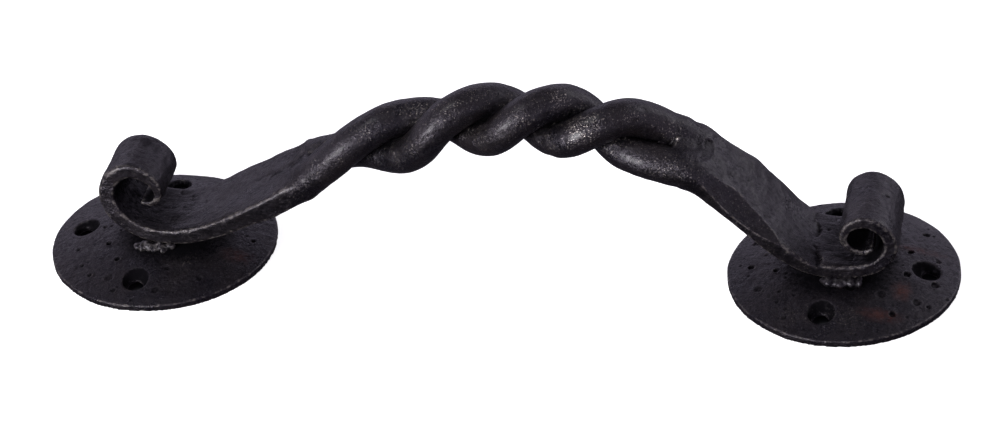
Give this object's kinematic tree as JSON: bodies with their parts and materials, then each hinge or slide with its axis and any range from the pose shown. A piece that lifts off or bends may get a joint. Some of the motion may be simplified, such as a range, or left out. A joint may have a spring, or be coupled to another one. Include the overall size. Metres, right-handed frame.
{
  "type": "twisted wrought iron pull handle",
  "caption": "Hand-forged pull handle: a twisted pair of round iron bars runs into flat straps that end in rolled scrolls, welded to round domed roses drilled for screws.",
  "frame": {"origin": "midway between the roses' centres, on the plane of their backs, where the door's face is", "axes": "+X along the handle towards the steeper strap, +Y across the handle, +Z away from the door"},
  "size_m": [0.259, 0.064, 0.0586],
  "materials": {
    "rose": "blackened and waxed forged iron, pitted, with faint rust",
    "strand": "blackened and waxed forged iron, with bright wear on the crowns",
    "strap": "blackened and waxed forged iron, hammered, with bright worn edges",
    "weld": "rough weld metal under thin black wax"
  },
  "bodies": {
    "root": {"left_rose": "rose", "right_rose": "rose", "strand_a": "strand", "strand_b": "strand", "left_strap": "strap", "right_strap": "strap", "left_front_weld": "weld", "left_back_weld": "weld", "right_front_weld": "weld", "right_back_weld": "weld"}
  },
  "joints": []
}
